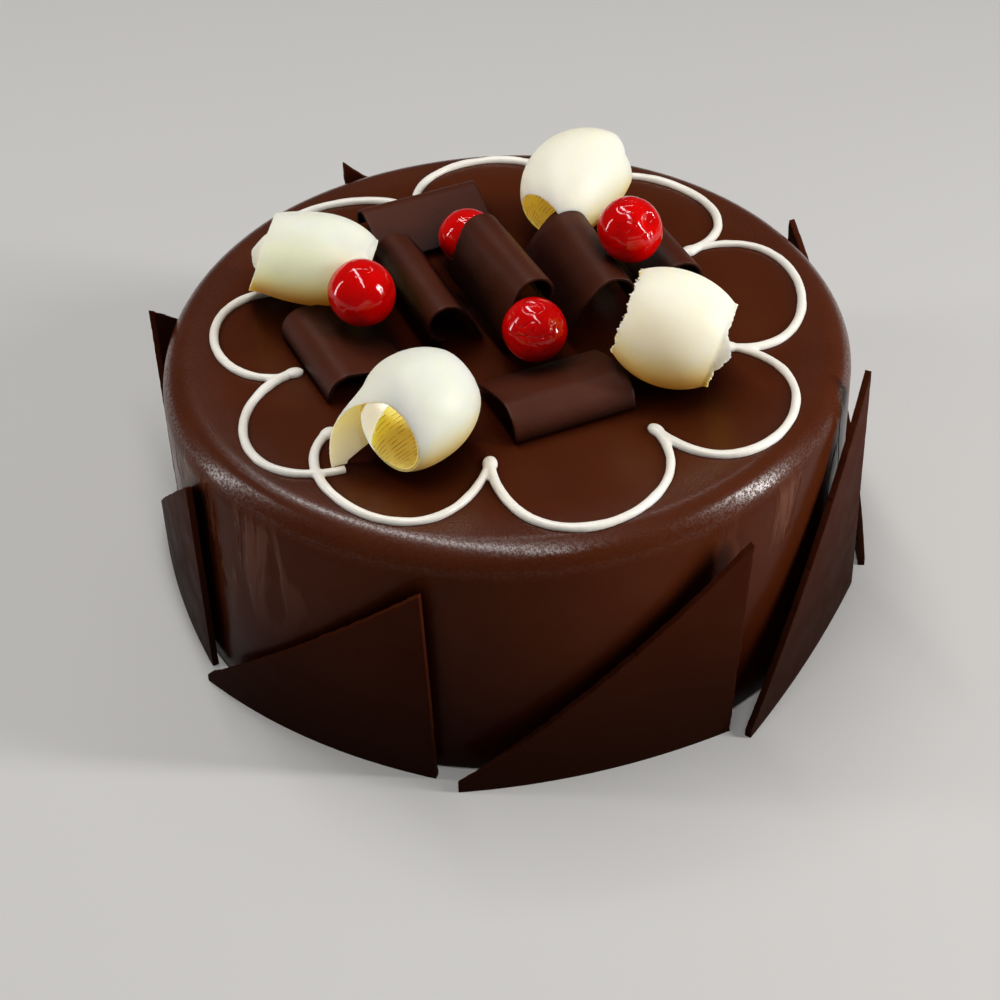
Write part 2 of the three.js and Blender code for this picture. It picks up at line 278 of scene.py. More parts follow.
def uneven_finish():
    """Group for any food surface: patches of two colours, a gloss that comes
    and goes, and a low grain. Sizes are in patches or grains to the metre."""
    group, given, result = start_group(
        "uneven_finish",
        {
            "Colour": (0.1, 0.05, 0.03, 1),
            "Patch Colour": (0.08, 0.03, 0.02, 1),
            "Patches": 20,
            "Shiny": 0.2,
            "Dull": 0.3,
            "Grain": 400,
            "Grain Depth": 0.1 * MM,
            "Ripple": 60,
            "Ripple Depth": 0.1 * MM,
        },
        ("Colour", "Roughness", "Height"),
    )
    place = group.nodes.new("ShaderNodeTexCoord").outputs["Object"]
    patches = mottle(group, place, given["Patches"], detail=3, roughness=0.6)
    patchy = ramp(group, patches, 0.36, 0.66, kind="LINEAR")
    ripple = mottle(group, place, given["Ripple"], detail=5)
    gloss = ramp(group, ripple, 0.3, 0.7, given["Shiny"], given["Dull"], "LINEAR")
    grain = mottle(group, place, given["Grain"], detail=4)
    grain_height = maths(group, "MULTIPLY", grain, given["Grain Depth"])
    height = maths(group, "MULTIPLY_ADD", ripple, given["Ripple Depth"], grain_height)
    colour = blend(group, patchy, given["Colour"], given["Patch Colour"])
    feed(group, colour, result["Colour"])
    feed(group, gloss, result["Roughness"])
    feed(group, height, result["Height"])
    return group


UNEVEN = uneven_finish()


def add_group(material, group, values=None):
    """Places a group in a material with the values it has there, and returns
    its outputs."""
    node = material.node_tree.nodes.new("ShaderNodeGroup")
    node.node_tree = group
    for label, value in (values or {}).items():
        node.inputs[label].default_value = value
    return node.outputs


def shader_of(material):
    """The sockets of the material's own shader."""
    return material.node_tree.nodes["Principled BSDF"].inputs


def food_material(name, finish, shader):
    """A material with the uneven finish wired to the shader's colour,
    roughness and normal. Plain values go on the shader's own sockets."""
    material = bpy.data.materials.new(name)
    material.use_nodes = True
    tree = material.node_tree
    surface = shader_of(material)
    for label, value in shader.items():
        surface[label].default_value = value
    uneven = add_group(material, UNEVEN, finish)
    relief = tree.nodes.new("ShaderNodeBump")
    relief.name = "relief"
    relief.inputs["Distance"].default_value = 1.0
    feed(tree, uneven["Colour"], surface["Base Color"])
    feed(tree, uneven["Roughness"], surface["Roughness"])
    feed(tree, uneven["Height"], relief.inputs["Height"])
    feed(tree, relief.outputs["Normal"], surface["Normal"])
    return material


def raise_relief(material, height):
    """Adds a height from a socket to the material's own relief."""
    tree = material.node_tree
    relief = tree.nodes["relief"].inputs["Height"]
    feed(tree, maths(tree, "ADD", relief.links[0].from_socket, height), relief)


def tint(material, colour, share):
    """Lays a colour over the material's own by a share from a socket."""
    tree = material.node_tree
    base = shader_of(material)["Base Color"]
    feed(tree, blend(tree, share, base.links[0].from_socket, colour), base)


# The painted shade in the gaps between pieces: how far it looks for other pieces, how many
# rays it casts, and the share of open sky where it starts and where it is full.
GAP_REACH = 36 * MM
GAP_SAMPLES = 8
GAP_SKY = (0.84, 0.42)


def gaps():
    """Group for the painted shade in the gaps between pieces, where the glaze and the
    chocolate see little light: 1 deep in a gap, 0 in the open."""
    group, _, result = start_group("gaps", {}, ("Deep",))
    open_sky = group.nodes.new("ShaderNodeAmbientOcclusion")
    open_sky.samples = GAP_SAMPLES
    open_sky.inputs["Distance"].default_value = GAP_REACH
    feed(group, ramp(group, open_sky.outputs["AO"], *GAP_SKY), result["Deep"])
    return group


GAP_SHADE = gaps()


def paint_gap_shade(material, colour):
    """Paints shade: sinks a material towards a dark colour in the gaps between pieces, and
    returns the socket that is 1 there."""
    deep = add_group(material, GAP_SHADE)["Deep"]
    tint(material, colour, deep)
    return deep


# Each pair of levels, radii or noise is where a mark starts and where it is full.
WET_LEVELS = (71 * MM, 77.5 * MM)
WET_RADII = (80 * MM, 93 * MM)
TOP_LEVELS = (77.5 * MM, 79.2 * MM)
FOOT_SHADE_LEVELS = (68 * MM, 0)
WET_EDGE, WET_TOP, WET_DRIP = 1.25, 0.24, 0.16
PITS = 1300
PIT_DEPTH = 0.14 * MM
PIT_NOISE = (0.44, 0.58)
WET_IN_PITS = 0.12
DRIPS = (85, 85, 24)
DRIP_LEAN = 0.35
DRIP_DEPTH = 0.35 * MM
DRIP_NOISE = (0.50, 0.60)
DRIPS_ASIDE = (45 * MM, 75 * MM)
DRIPS_FROM_FOOT = (22 * MM, 62 * MM)
DRIPS_FROM_TOP = (77 * MM, 68 * MM)


def glaze_flow():
    """Group for how the glaze lies: wet and finely pitted on its round edge, and run down
    the sides of the wall in drips. It also gives the masks for painted light: the drips'
    painted reflection, and the painted shade that darkens towards the foot."""
    group, _, result = start_group("glaze_flow", {}, ("Wet", "Height", "Foot Shade", "Drip Sheen"))
    place = group.nodes.new("ShaderNodeTexCoord").outputs["Object"]
    parts = split(group, place)
    level = parts["Z"]

    flat = group.nodes.new("ShaderNodeCombineXYZ")
    feed(group, parts["X"], flat.inputs["X"])
    feed(group, parts["Y"], flat.inputs["Y"])
    from_middle = group.nodes.new("ShaderNodeVectorMath")
    from_middle.operation = "LENGTH"
    feed(group, flat.outputs["Vector"], from_middle.inputs[0])
    on_edge = maths(
        group, "MULTIPLY",
        ramp(group, level, *WET_LEVELS),
        ramp(group, from_middle.outputs["Value"], *WET_RADII),
    )
    pits = mottle(group, place, PITS, detail=3, roughness=0.7)
    speckles = ramp(group, pits, *PIT_NOISE, WET_IN_PITS, 1.0)
    speckled = maths(group, "MULTIPLY", on_edge, speckles)
    on_top = maths(
        group, "MULTIPLY_ADD", ramp(group, level, *TOP_LEVELS), WET_TOP,
        maths(group, "MULTIPLY", speckled, WET_EDGE),
    )

    drawn_out = stretched(group, place, DRIPS, DRIP_LEAN)
    drips = mottle(group, drawn_out, 1, detail=4, distortion=0.6)
    aside = maths(group, "ABSOLUTE", parts["X"])
    drip = maths(
        group, "MULTIPLY",
        maths(
            group, "MULTIPLY",
            ramp(group, drips, *DRIP_NOISE), ramp(group, aside, *DRIPS_ASIDE),
        ),
        maths(
            group, "MULTIPLY",
            ramp(group, level, *DRIPS_FROM_FOOT), ramp(group, level, *DRIPS_FROM_TOP),
        ),
    )
    wet = maths(group, "MAXIMUM", on_top, maths(group, "MULTIPLY", drip, WET_DRIP))
    pitted = maths(group, "MULTIPLY", maths(group, "MULTIPLY", pits, on_edge), PIT_DEPTH)
    feed(group, wet, result["Wet"])
    feed(group, maths(group, "MULTIPLY_ADD", drip, DRIP_DEPTH, pitted), result["Height"])
    feed(group, ramp(group, level, *FOOT_SHADE_LEVELS), result["Foot Shade"])
    feed(group, drip, result["Drip Sheen"])
    return group


GLAZE_FLOW = glaze_flow()
glaze = food_material(
    "glaze",
    {
        "Colour": (0.064, 0.0138, 0.0040, 1),
        "Patch Colour": (0.053, 0.0105, 0.0026, 1),
        "Patches": 22,
        "Shiny": 0.17,
        "Dull": 0.25,
        "Grain": 1100,
        "Grain Depth": 0.02 * MM,
        "Ripple": 70,
        "Ripple Depth": 0.25 * MM,
    },
    {"Specular IOR Level": 0.03, "Coat Roughness": 0.24, "Coat IOR": 1.45},
)
flow = add_group(glaze, GLAZE_FLOW)
raise_relief(glaze, flow["Height"])
# Painted reflection: the drips on the sides of the wall are tinted lighter brown, standing
# in for the side lights' reflection in them. Their relief and gloss are real.
tint(glaze, (0.095, 0.026, 0.010, 1), flow["Drip Sheen"])
# Painted shade: the glaze darkens towards the foot.
tint(glaze, (0.020, 0.0030, 0.0006, 1), flow["Foot Shade"])
# Painted shade: the glaze sinks to near black in the gaps between pieces and loses its coat
# there, so it shows no reflection.
deep = paint_gap_shade(glaze, (0.014, 0.0020, 0.0005, 1))
wet_in_open = maths(glaze.node_tree, "SUBTRACT", flow["Wet"], deep, clamp=True)
feed(glaze.node_tree, wet_in_open, shader_of(glaze)["Coat Weight"])
cake_body.data.materials.append(glaze)
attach(cake_body, "root")
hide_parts("cake")


# The piped petals: nine loops of white icing, each one squeeze of a small
# round nozzle from cusp to cusp, with a drop where it started. The lines are
# swept, their drops added, and the whole is fused and relaxed as soft icing.

LINE_WIDTH = 2.8 * MM
LINE_SUNK = 1.1 * MM
LINE_LEVEL = CAKE_HEIGHT + 0.5 * LINE_WIDTH - LINE_SUNK
HEAD_LENGTH = 6.2 * MM
HEAD_WIDTH = 4.2 * MM
HEAD_HEIGHT = 3.2 * MM
HEAD_IN_MM = 1
THICK_AT_START, THIN_AT_END = 1.06, 0.90
LINE_STEPS, LINE_ROUNDNESS = 64, 4
HEAD_SIDES, HEAD_RINGS = 24, 14
FUSED_GRID = 0.45 * MM
RELAXED_BY, RELAXED_TIMES = 0.5, 3
PULSE_LENGTH = 9 * MM
PULSE = 0.5 * MM
PETALS = (
    # start and end (azimuth, mm), how far the line sets off, and how askew
    ((348.1, 67.2), (32.6, 66.5), (33, 46), (1, -8)),
    ((31.9, 68.3), (72.5, 65), (38, 45), (0, 3)),
    ((72.5, 65), (113, 65), (45, 39), (-7, -4)),
    ((113, 65), (156, 66), (28, 50), (-1, -16)),
    ((160.8, 64.5), (198.1, 66.5), (37, 28), (-9, -9)),
    ((197, 65.4), (234.4, 77.5), (25, 33), (-16, -37)),
    ((223, 70), (264.7, 64.5), (26, 50), (-13, -12)),
    ((265, 64.3), (308.6, 65), (52, 36), (-14, -9)),
    ((308.9, 66.4), (348.1, 66.8), (43, 40), (3, -9)),
)


def polar(azimuth, radius_mm, height=0):
    """A point at an azimuth in degrees and a radius in millimetres."""
    angle = math.radians(azimuth)
    radius = radius_mm * MM
    return Vector((radius * math.cos(angle), radius * math.sin(angle), height))


bpy.ops.object.select_all(action="DESELECT")
squeezes = []
for start, end, reach, flare in PETALS:
    bpy.ops.curve.primitive_bezier_curve_add(radius=1 * MM)
    line = bpy.context.object
    first, last = line.data.splines[0].bezier_points
    for point in (first, last):
        point.handle_left_type = "FREE"
        point.handle_right_type = "FREE"
    first.co = polar(*start, LINE_LEVEL)
    first.handle_right = first.co + polar(start[0] - flare[0], reach[0])
    first.handle_left = first.co
    last.co = polar(*end, LINE_LEVEL)
    last.handle_left = last.co + polar(end[0] + flare[1], reach[1])
    last.handle_right = last.co
    first.radius = THICK_AT_START
    last.radius = THIN_AT_END
    line.data.resolution_u = LINE_STEPS
    line.data.bevel_depth = 0.5 * LINE_WIDTH
    line.data.bevel_resolution = LINE_ROUNDNESS
    line.data.use_fill_caps = True
    squeezes.append(line)

    centre = polar(start[0], start[1] - HEAD_IN_MM, LINE_LEVEL)
    bpy.ops.mesh.primitive_uv_sphere_add(
        segments=HEAD_SIDES, ring_count=HEAD_RINGS, radius=0.5, location=centre,
        scale=(HEAD_LENGTH, HEAD_WIDTH, HEAD_HEIGHT),
        rotation=(0, 0, math.radians(start[0])),
    )
    squeezes.append(bpy.context.object)

bpy.ops.object.select_all(action="DESELECT")
for piece in squeezes:
    piece.select_set(True)
bpy.context.view_layer.objects.active = squeezes[0]
bpy.ops.object.convert(target="MESH")
bpy.ops.object.join()
piping = bpy.context.object
piping.name = "piped_petals"
bpy.ops.object.transform_apply(location=True, rotation=True, scale=True)
fused = piping.modifiers.new("fused", "REMESH")
fused.mode = "VOXEL"
fused.voxel_size = FUSED_GRID
bpy.ops.object.modifier_apply(modifier="fused")
relaxed = piping.modifiers.new("relaxed", "SMOOTH")
relaxed.factor = RELAXED_BY
relaxed.iterations = RELAXED_TIMES
bpy.ops.object.modifier_apply(modifier="relaxed")
pressure = bpy.data.textures.new("nozzle_pressure", "CLOUDS")
pressure.noise_scale = PULSE_LENGTH
pulse = piping.modifiers.new("pulse", "DISPLACE")
pulse.texture = pressure
pulse.texture_coords = "LOCAL"
pulse.strength = PULSE
pulse.mid_level = 0.5
bpy.ops.object.modifier_apply(modifier="pulse")
bpy.ops.object.shade_smooth()

icing = food_material(
    "icing",
    {
        "Colour": (0.78, 0.76, 0.70, 1),
        "Patch Colour": (0.72, 0.69, 0.62, 1),
        "Patches": 60,
        "Shiny": 0.28,
        "Dull": 0.42,
        "Grain": 1500,
        "Grain Depth": 0.02 * MM,
        "Ripple": 250,
        "Ripple Depth": 0.04 * MM,
    },
    {
        "Subsurface Weight": 0.25,
        "Subsurface Radius": (1.0, 0.8, 0.6),
        "Subsurface Scale": 1 * MM,
    },
)
piping.data.materials.append(icing)
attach(piping, "root")


# The shards: eight triangles of dark chocolate about 2 mm thick, broken from a
# sheet and stood on their long edge against the wall, each rising from a low
# tip to a tall edge. Each is cut from a flat sheet, chipped and then bent.

SHARD_SHEET = 1.9 * MM
SHARD_GRID = 1.5 * MM
SHARD_CHIPS = 0.30 * MM
CHIPPED_BELOW, CHIPPED_BESIDE = 0.3 * MM, 0.5 * MM
CUT_MERGED = 0.25 * MM
CUT_ROUNDING = 0.3 * MM
EDGE_ANGLE = math.radians(60)
SMOOTH_ANGLE = math.radians(50)
WALL_CLEARANCE = 1.6 * MM
TIP_HEIGHT = 2.5 * MM
SHARDS = (
    # tip azimuth, radius mm, tall edge's azimuth, radius mm, height mm, and how
    # far in mm its top sweeps past its foot
    (214.0, 110.0, 257.2, 106.6, 70.0, -1.5),
    (260.8, 110.8, 303.9, 107.6, 69.5, 5.0),
    (305.2, 113.5, 344.2, 107.0, 82.0, 0.0),
    (348.6, 110.0, 31.6, 107.0, 77.0, 0.0),
    (34.5, 110.0, 73.0, 106.6, 68.0, 0.0),
    (77.0, 110.0, 118.4, 107.0, 79.5, 0.0),
    (127.0, 110.0, 170.5, 108.0, 78.0, 0.0),
    (171.5, 112.5, 211.8, 106.0, 70.0, 0.0),
)


def flat_sheet(name, left, right, bottom, top, grid):
    """A flat sheet of chocolate, ready to trim, on the XY plane."""
    bpy.ops.object.select_all(action="DESELECT")
    bpy.ops.mesh.primitive_grid_add(
        x_subdivisions=round((right - left) / grid),
        y_subdivisions=round((top - bottom) / grid),
        size=1,
        enter_editmode=True,
    )
    bpy.ops.transform.resize(value=(right - left, top - bottom, 1))
    bpy.ops.transform.translate(value=((left + right) / 2, (bottom + top) / 2, 0))
    bpy.ops.object.mode_set(mode="OBJECT")
    sheet = bpy.context.object
    sheet.name = name
    return sheet


def trim(sheet, on_line, outwards):
    """Cuts the sheet along a line and drops what lies outwards of it."""
    bpy.ops.object.mode_set(mode="EDIT")
    bpy.ops.mesh.select_all(action="SELECT")
    bpy.ops.mesh.bisect(
        plane_co=(*on_line, 0),
        plane_no=Vector((*outwards, 0)).normalized(),
        clear_outer=True,
        threshold=0.001 * MM,
    )
    bpy.ops.mesh.select_all(action="SELECT")
    bpy.ops.mesh.remove_doubles(threshold=CUT_MERGED)
    bpy.ops.object.mode_set(mode="OBJECT")


def chip(sheet, depth, seed, where):
    """Nibbles the cut edge, as chocolate breaks: where says which points."""
    bpy.ops.object.mode_set(mode="EDIT")
    bpy.ops.mesh.select_mode(type="VERT")
    bpy.ops.mesh.select_all(action="DESELECT")
    bpy.ops.object.mode_set(mode="OBJECT")
    for vertex in sheet.data.vertices:
        vertex.select = where(vertex.co.x, vertex.co.y)
    bpy.ops.object.mode_set(mode="EDIT")
    bpy.ops.transform.vertex_random(offset=depth, uniform=0, normal=0, seed=seed)
    bpy.ops.object.mode_set(mode="OBJECT")


def bend_sheet(sheet, place):
    """Bends the flat sheet: place gives each point its spot in space. The flat
    place stays in the UV map, in metres, for the scraper's marks."""
    uv = sheet.data.uv_layers.active.data
    for loop in sheet.data.loops:
        flat = sheet.data.vertices[loop.vertex_index].co
        uv[loop.index].uv = (flat.x, flat.y)
    for vertex in sheet.data.vertices:
        vertex.co = place(vertex.co.x, vertex.co.y)


def thicken(sheet, thickness, side, rounding, edge_share=1.0, thinned_over=0):
    """Gives the bent sheet its thickness on one side, thinner along its cut
    edges where the scraper left them so, and softens those edges. The faces
    on the new side take the sheet's second material, if it has one."""
    wall = sheet.modifiers.new("wall", "SOLIDIFY")
    wall.thickness = thickness
    wall.offset = side
    wall.material_offset = 1
    if thinned_over:
        full = sheet.vertex_groups.new(name="full_thickness")
        flat = {}
        for loop in sheet.data.loops:
            flat[loop.vertex_index] = sheet.data.uv_layers.active.data[loop.index].uv
        near_edge = [min(place[axis] for place in flat.values()) for axis in (0, 1)]
        far_edge = [max(place[axis] for place in flat.values()) for axis in (0, 1)]
        for index, place in flat.items():
            inwards = min(
                min(place[axis] - near_edge[axis], far_edge[axis] - place[axis])
                for axis in (0, 1)
            )
            full.add([index], min(1, inwards / thinned_over), "REPLACE")
        wall.vertex_group = full.name
        wall.thickness_vertex_group = edge_share
    bpy.ops.object.modifier_apply(modifier="wall")
    softened = sheet.modifiers.new("softened", "BEVEL")
    softened.width = rounding
    softened.segments = 2
    softened.limit_method = "ANGLE"
    softened.angle_limit = EDGE_ANGLE
    bpy.ops.object.modifier_apply(modifier="softened")
    bpy.ops.object.shade_smooth_by_angle(angle=SMOOTH_ANGLE)


def shard_bend(tip_at, tip_radius, tall_at, tall_radius):
    """Where the sheet's foot runs in plan, clear of the wall, as a function
    of the distance along it, and how far the tall edge is from the tip."""
    tip = polar(tip_at, tip_radius)
    tall = polar(tall_at, tall_radius)
    middle = (tip + tall) / 2
    clear = CAKE_RADIUS + FOOT_SPREAD + WALL_CLEARANCE + SHARD_SHEET / 2
    sag = max(1 * MM, clear - middle.length)
    control = middle.normalized() * (middle.length + 2 * sag)
    width = (tall - tip).length

    def foot(along):
        u = along / width
        if u > 1:
            return tall + (tall - control).normalized() * (along - width)
        return (1 - u) ** 2 * tip + 2 * u * (1 - u) * control + u * u * tall

    return foot, width


CHOCOLATE = {
    "Colour": (0.056, 0.0120, 0.0045, 1),
    "Patch Colour": (0.045, 0.0090, 0.0032, 1),
    "Patches": 40,
    "Shiny": 0.40,
    "Dull": 0.52,
    "Grain": 1800,
    "Grain Depth": 0.03 * MM,
    "Ripple": 120,
    "Ripple Depth": 0.06 * MM,
}
# Painted shade: the shards' chocolate is the curls' chocolate painted darker, for the
# little light that reaches them against the wall.
shaded_dark_sheet = food_material(
    "dark_chocolate_sheet_shaded",
    CHOCOLATE | {
        "Colour": (0.041, 0.0085, 0.0030, 1),
        "Patch Colour": (0.034, 0.0066, 0.0021, 1),
    },
    {"Specular IOR Level": 0.01},
)
# Painted shade: the shards darken towards the foot, as the glaze does.
tint(shaded_dark_sheet, (0.014, 0.0035, 0.0014, 1), add_group(shaded_dark_sheet, GLAZE_FLOW)["Foot Shade"])

for number, (*plan, height, sweep) in enumerate(SHARDS, 1):
    foot, width = shard_bend(*plan)
    height *= MM
    sweep *= MM
    rise = (height - TIP_HEIGHT) / (width + sweep)
    name = f"chocolate_shard_{number}"
    spare = 1 * MM
    shard = flat_sheet(
        name, 0, width + max(0, sweep) + spare, 0, height + spare, SHARD_GRID,
    )
    trim(shard, (0, TIP_HEIGHT), (-rise, 1))
    trim(shard, (width, 0), (height, -sweep))

    def on_cut_edge(x, y):
        return y > TIP_HEIGHT + rise * x - CHIPPED_BELOW or x > width - CHIPPED_BESIDE

    chip(shard, SHARD_CHIPS, number, on_cut_edge)
    for vertex in shard.data.vertices:
        vertex.co.y = max(0, vertex.co.y)
    bend_sheet(shard, lambda x, y: foot(x) + Vector((0, 0, y)))
    thicken(shard, SHARD_SHEET, 0, CUT_ROUNDING)
    shard.data.materials.append(shaded_dark_sheet)
    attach(shard, "root")
    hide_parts(f"shard_{number}")


# The dark curls: seven strips of dark chocolate scraped warm off a slab, so
# that each bent into a J with a gently bent tail. Each is a flat strip, its
# ends nibbled, bent round an arc and laid in the pile.

DARK_SHEET = 1.25 * MM
DARK_GRID = 1.0 * MM
DARK_CHIPS = 0.22 * MM
DARK_SEED = 20
TAIL_BEND = 60 * MM
DARK_CURLS = (
    # at mm, heading, hand, length mm, radius mm, arc from, arc to, tail mm
    ((-25.2, 55.4, 84.8), 22.3, -1, 38.0, 5.8, 70, 195, 17),
    ((-24.8, 9.0, 89.6), -67.5, 1, 42.0, 6.3, 35, 262, 13),
    ((-52.2, -14.8, 82.1), -65.8, 1, 37.0, 6.7, 82, 188, 20),
    ((1.1, 7.0, 98.2), -65.5, -1, 37.5, 6.3, 25, 215, 16),
    ((25.3, 13.0, 93.5), -71.0, -1, 40.0, 7.0, 45, 205, 15),
    ((45.8, 23.7, 88.0), -67.0, -1, 34.0, 7.4, 50, 225, 8),
    ((15.9, -41.0, 81.7), 22.5, 1, 37.0, 7.8, 80, 188, 19),
)

dark_chocolate = food_material(
    "dark_chocolate",
    CHOCOLATE | {"Grain Depth": 0.06 * MM},
    {"Specular IOR Level": 0.14},
)
# Painted shade: the curls sink to near black in the gaps between pieces.
paint_gap_shade(dark_chocolate, (0.008, 0.0014, 0.0005, 1))


def curl_bend(hand, radius, arc_from, tail):
    """Bends a flat strip, tail first, into the J round the local X axis."""
    start = math.radians(arc_from)
    centre = (radius - TAIL_BEND) * Vector((math.cos(start), math.sin(start)))

    def place(x, y):
        if y < tail:
            angle = start - (tail - y) / TAIL_BEND
            section = centre + TAIL_BEND * Vector((math.cos(angle), math.sin(angle)))
        else:
            angle = start + (y - tail) / radius
            section = radius * Vector((math.cos(angle), math.sin(angle)))
        return Vector((x * hand, section.x * hand, section.y))

    return place


def lay(piece, at, heading, tilt=0):
    """Turns a curl to its heading, lifts its far end, and puts it in place."""
    piece.rotation_mode = "ZYX"
    piece.rotation_euler = (0, -math.radians(tilt), math.radians(heading))
    piece.location = Vector(at) * MM
    bpy.ops.object.transform_apply(location=True, rotation=True, scale=True)


for number, (at, heading, hand, length, radius, *arc, tail) in enumerate(DARK_CURLS, 1):
    length, radius, tail = length * MM, radius * MM, tail * MM
    arc_from, arc_to = arc
    reach = tail + radius * math.radians(arc_to - arc_from)
    name = f"dark_chocolate_curl_{number}"
    curl = flat_sheet(name, -length / 2, length / 2, 0, reach, DARK_GRID)
    chip(curl, DARK_CHIPS, DARK_SEED + number, lambda x, y: abs(x) > length / 2 - HAIR)
    bend_sheet(curl, curl_bend(hand, radius, arc_from, tail))
    thicken(curl, DARK_SHEET, 1, CUT_ROUNDING)
    lay(curl, at, heading)
    curl.data.materials.append(dark_chocolate)
    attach(curl, "root")
    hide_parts(f"dark_curl_{number}")


# The white rolls: four sheets of white chocolate rolled up on themselves into
# small barrels, with ragged cut ends and the scraper's chatter across the
# inside. Each is a flat sheet rolled into a spiral whose ends draw in.

WHITE_SHEET = 0.85 * MM
WHITE_GRID = 0.6 * MM
WHITE_EDGE_SHARE = 0.5
WHITE_THINNED_OVER = 4 * MM
WHITE_ROUNDING = 0.15 * MM
NEAR_SEED, FAR_SEED, TORN_SEED = 40, 50, 60
CHATTER_PITCH = 1.40 * MM
CHATTER_DEPTH = 0.09 * MM
CHATTER_FADES = (0.55, 0.35)
TONGUE_FULLNESS = 0.6
LIP_ALONG = (-7, -13)
LIP_STEP_TURN = 45
# Lengths in mm, angles in degrees. "turn" and "radius" go from the sheet's
# inner end to its outer one, "ends" give each cut's place and slant.
WHITE_ROLLS = (
    {
        "at": (-54.4, 14.9, 95.8), "heading": -14, "tilt": -1,
        "barrel": 33, "waist": (0.84, 0.58), "turn": (930, 285), "radius": (11, 15.3),
        "ends": ((-17.6, -0.08, 0.356), (14.8, -0.08, 0.356)),
        "tongues": (("near", 0.11, 0.05, 3.2),), "teeth": (0.12, 0.10), "torn": 0.2,
    },
    {
        "at": (21.8, 50.3, 98.6), "heading": 47, "tilt": 14,
        "barrel": 38.5, "waist": (0.5, 0.2), "turn": (-150, 280), "radius": (11.5, 16.4),
        "ends": ((-18.6, 0, 0), (12.5, 0, 0)), "bow": (3.8, 5.0),
        "tongues": (("far", 0.62, 0.10, 3.8),), "teeth": (0.12, 0.10), "torn": 0.2,
    },
    {
        "at": (-25.4, -56.7, 96), "heading": 46.5, "tilt": 0,
        "barrel": 28, "waist": (0.63, 0.70), "turn": (693, -46), "radius": (14.4, 16.2),
        "ends": ((-12.6, 0, 0), (14, 0, 0)), "bow": (2.6, 0), "drop": 0.7, "aside": 0.7,
        "tongues": (), "teeth": (0.10, 0.10), "torn": 0.55, "start_cut": 4.0,
        "lip": {"from": 60, "flare": 12, "reach": 5, "step": 2.5},
    },
    {
        "at": (47.4, -27.6, 99.3), "heading": -16, "tilt": -16,
        "barrel": 27.4, "waist": (0.74, 0.74), "turn": (-170, 280), "radius": (12.6, 18.4),
        "ends": ((-13.9, 0, 0), (14.6, 0, 0)),
        "tongues": (("far", 0.735, 0.055, 3.0),), "teeth": (0.90, 0.45), "torn": 0.4,
    },
)


def ease(value, start, end):
    """0 at start, 1 at end, and smooth between."""
    share = max(0.0, min(1.0, (value - start) / (end - start)))
    return share * share * (3 - 2 * share)


def roll_bend(roll, half_width, reach):
    """Rolls a flat sheet, inner end first, into a barrel round local X. The
    ends are cut on a slant, tongues of the sheet stand out of them, and the
    outer end may flare into a lip at the near end."""
    half = roll["barrel"] / 2
    inner, outer = roll["radius"]
    turn_from, turn_to = roll["turn"]
    lip = roll.get("lip")

    def section(x, angle, radius, lifted):
        along = max(-1.0, min(1.0, x / half))
        waist = roll["waist"][along > 0]
        swell = math.sqrt(1 - (1 - waist ** 2) * along * along)
        near = ease(x, *LIP_ALONG) if lip else 0
        out = radius * swell + (lip["flare"] * lifted ** 2 * near if lip else 0)
        bow = roll.get("bow", (0, 0))[along > 0] * along * along
        drop = roll.get("drop", 0) * along * along if along < 0 else 0
        across = out * math.cos(angle) - bow - roll.get("aside", 0)
        return across, out * math.sin(angle) - drop, near

    def place(flat_x, flat_y):
        share = flat_y / reach
        degrees = turn_from + share * (turn_to - turn_from)
        lifted = 0
        if lip:
            lifted = max(0, (lip["from"] - degrees) / (lip["from"] - turn_to))
        angle = math.radians(degrees)
        chatter = CHATTER_DEPTH / MM * math.sin(2 * math.pi * flat_y / CHATTER_PITCH)
        radius = inner + share * (outer - inner) + chatter * ease(share, *CHATTER_FADES)
        ends = []
        for name, (at, by_across, by_up) in zip(("near", "far"), roll["ends"]):
            across, up, _ = section(at, angle, radius, lifted)
            end = at + by_across * across + by_up * up
            for side, middle, reach_share, depth in roll["tongues"]:
                if side == name:
                    nearness = max(0, 1 - abs(share - middle) / reach_share)
                    tongue = nearness ** TONGUE_FULLNESS
                    end += depth * tongue * (1 if side == "far" else -1)
            ends.append(end)
        x = ends[0] + (flat_x / half_width + 1) / 2 * (ends[1] - ends[0])
        across, up, near = section(x, angle, radius, lifted)
        if lip:
            stepped = ease(degrees, lip["from"] + LIP_STEP_TURN, lip["from"])
            x -= lip["reach"] * lifted * near
            x -= lip["step"] * stepped * near
        return Vector((x, across, up)) * MM

    return place


STREAKS = (35, 1500, 1)
WANDER = 220
GROOVE_FROM = 0.45
BROKEN = (0.42, 0.56)
STREAK_DEPTH = 0.03 * MM
INSIDE_STREAK_DEPTH = 0.04 * MM
GROOVE_DEPTH = 0.22 * MM
UNDERSIDE_SHADE_TURN = (0.32, -0.58)
# Where along the flat sheet the inside is painted as lit, paler and glowing: its outer
# flap, and one strip further in.
FLAP = (158 * MM, 196 * MM)
WRAP_START, WRAP_END = (83 * MM, 86 * MM), (104 * MM, 101 * MM)


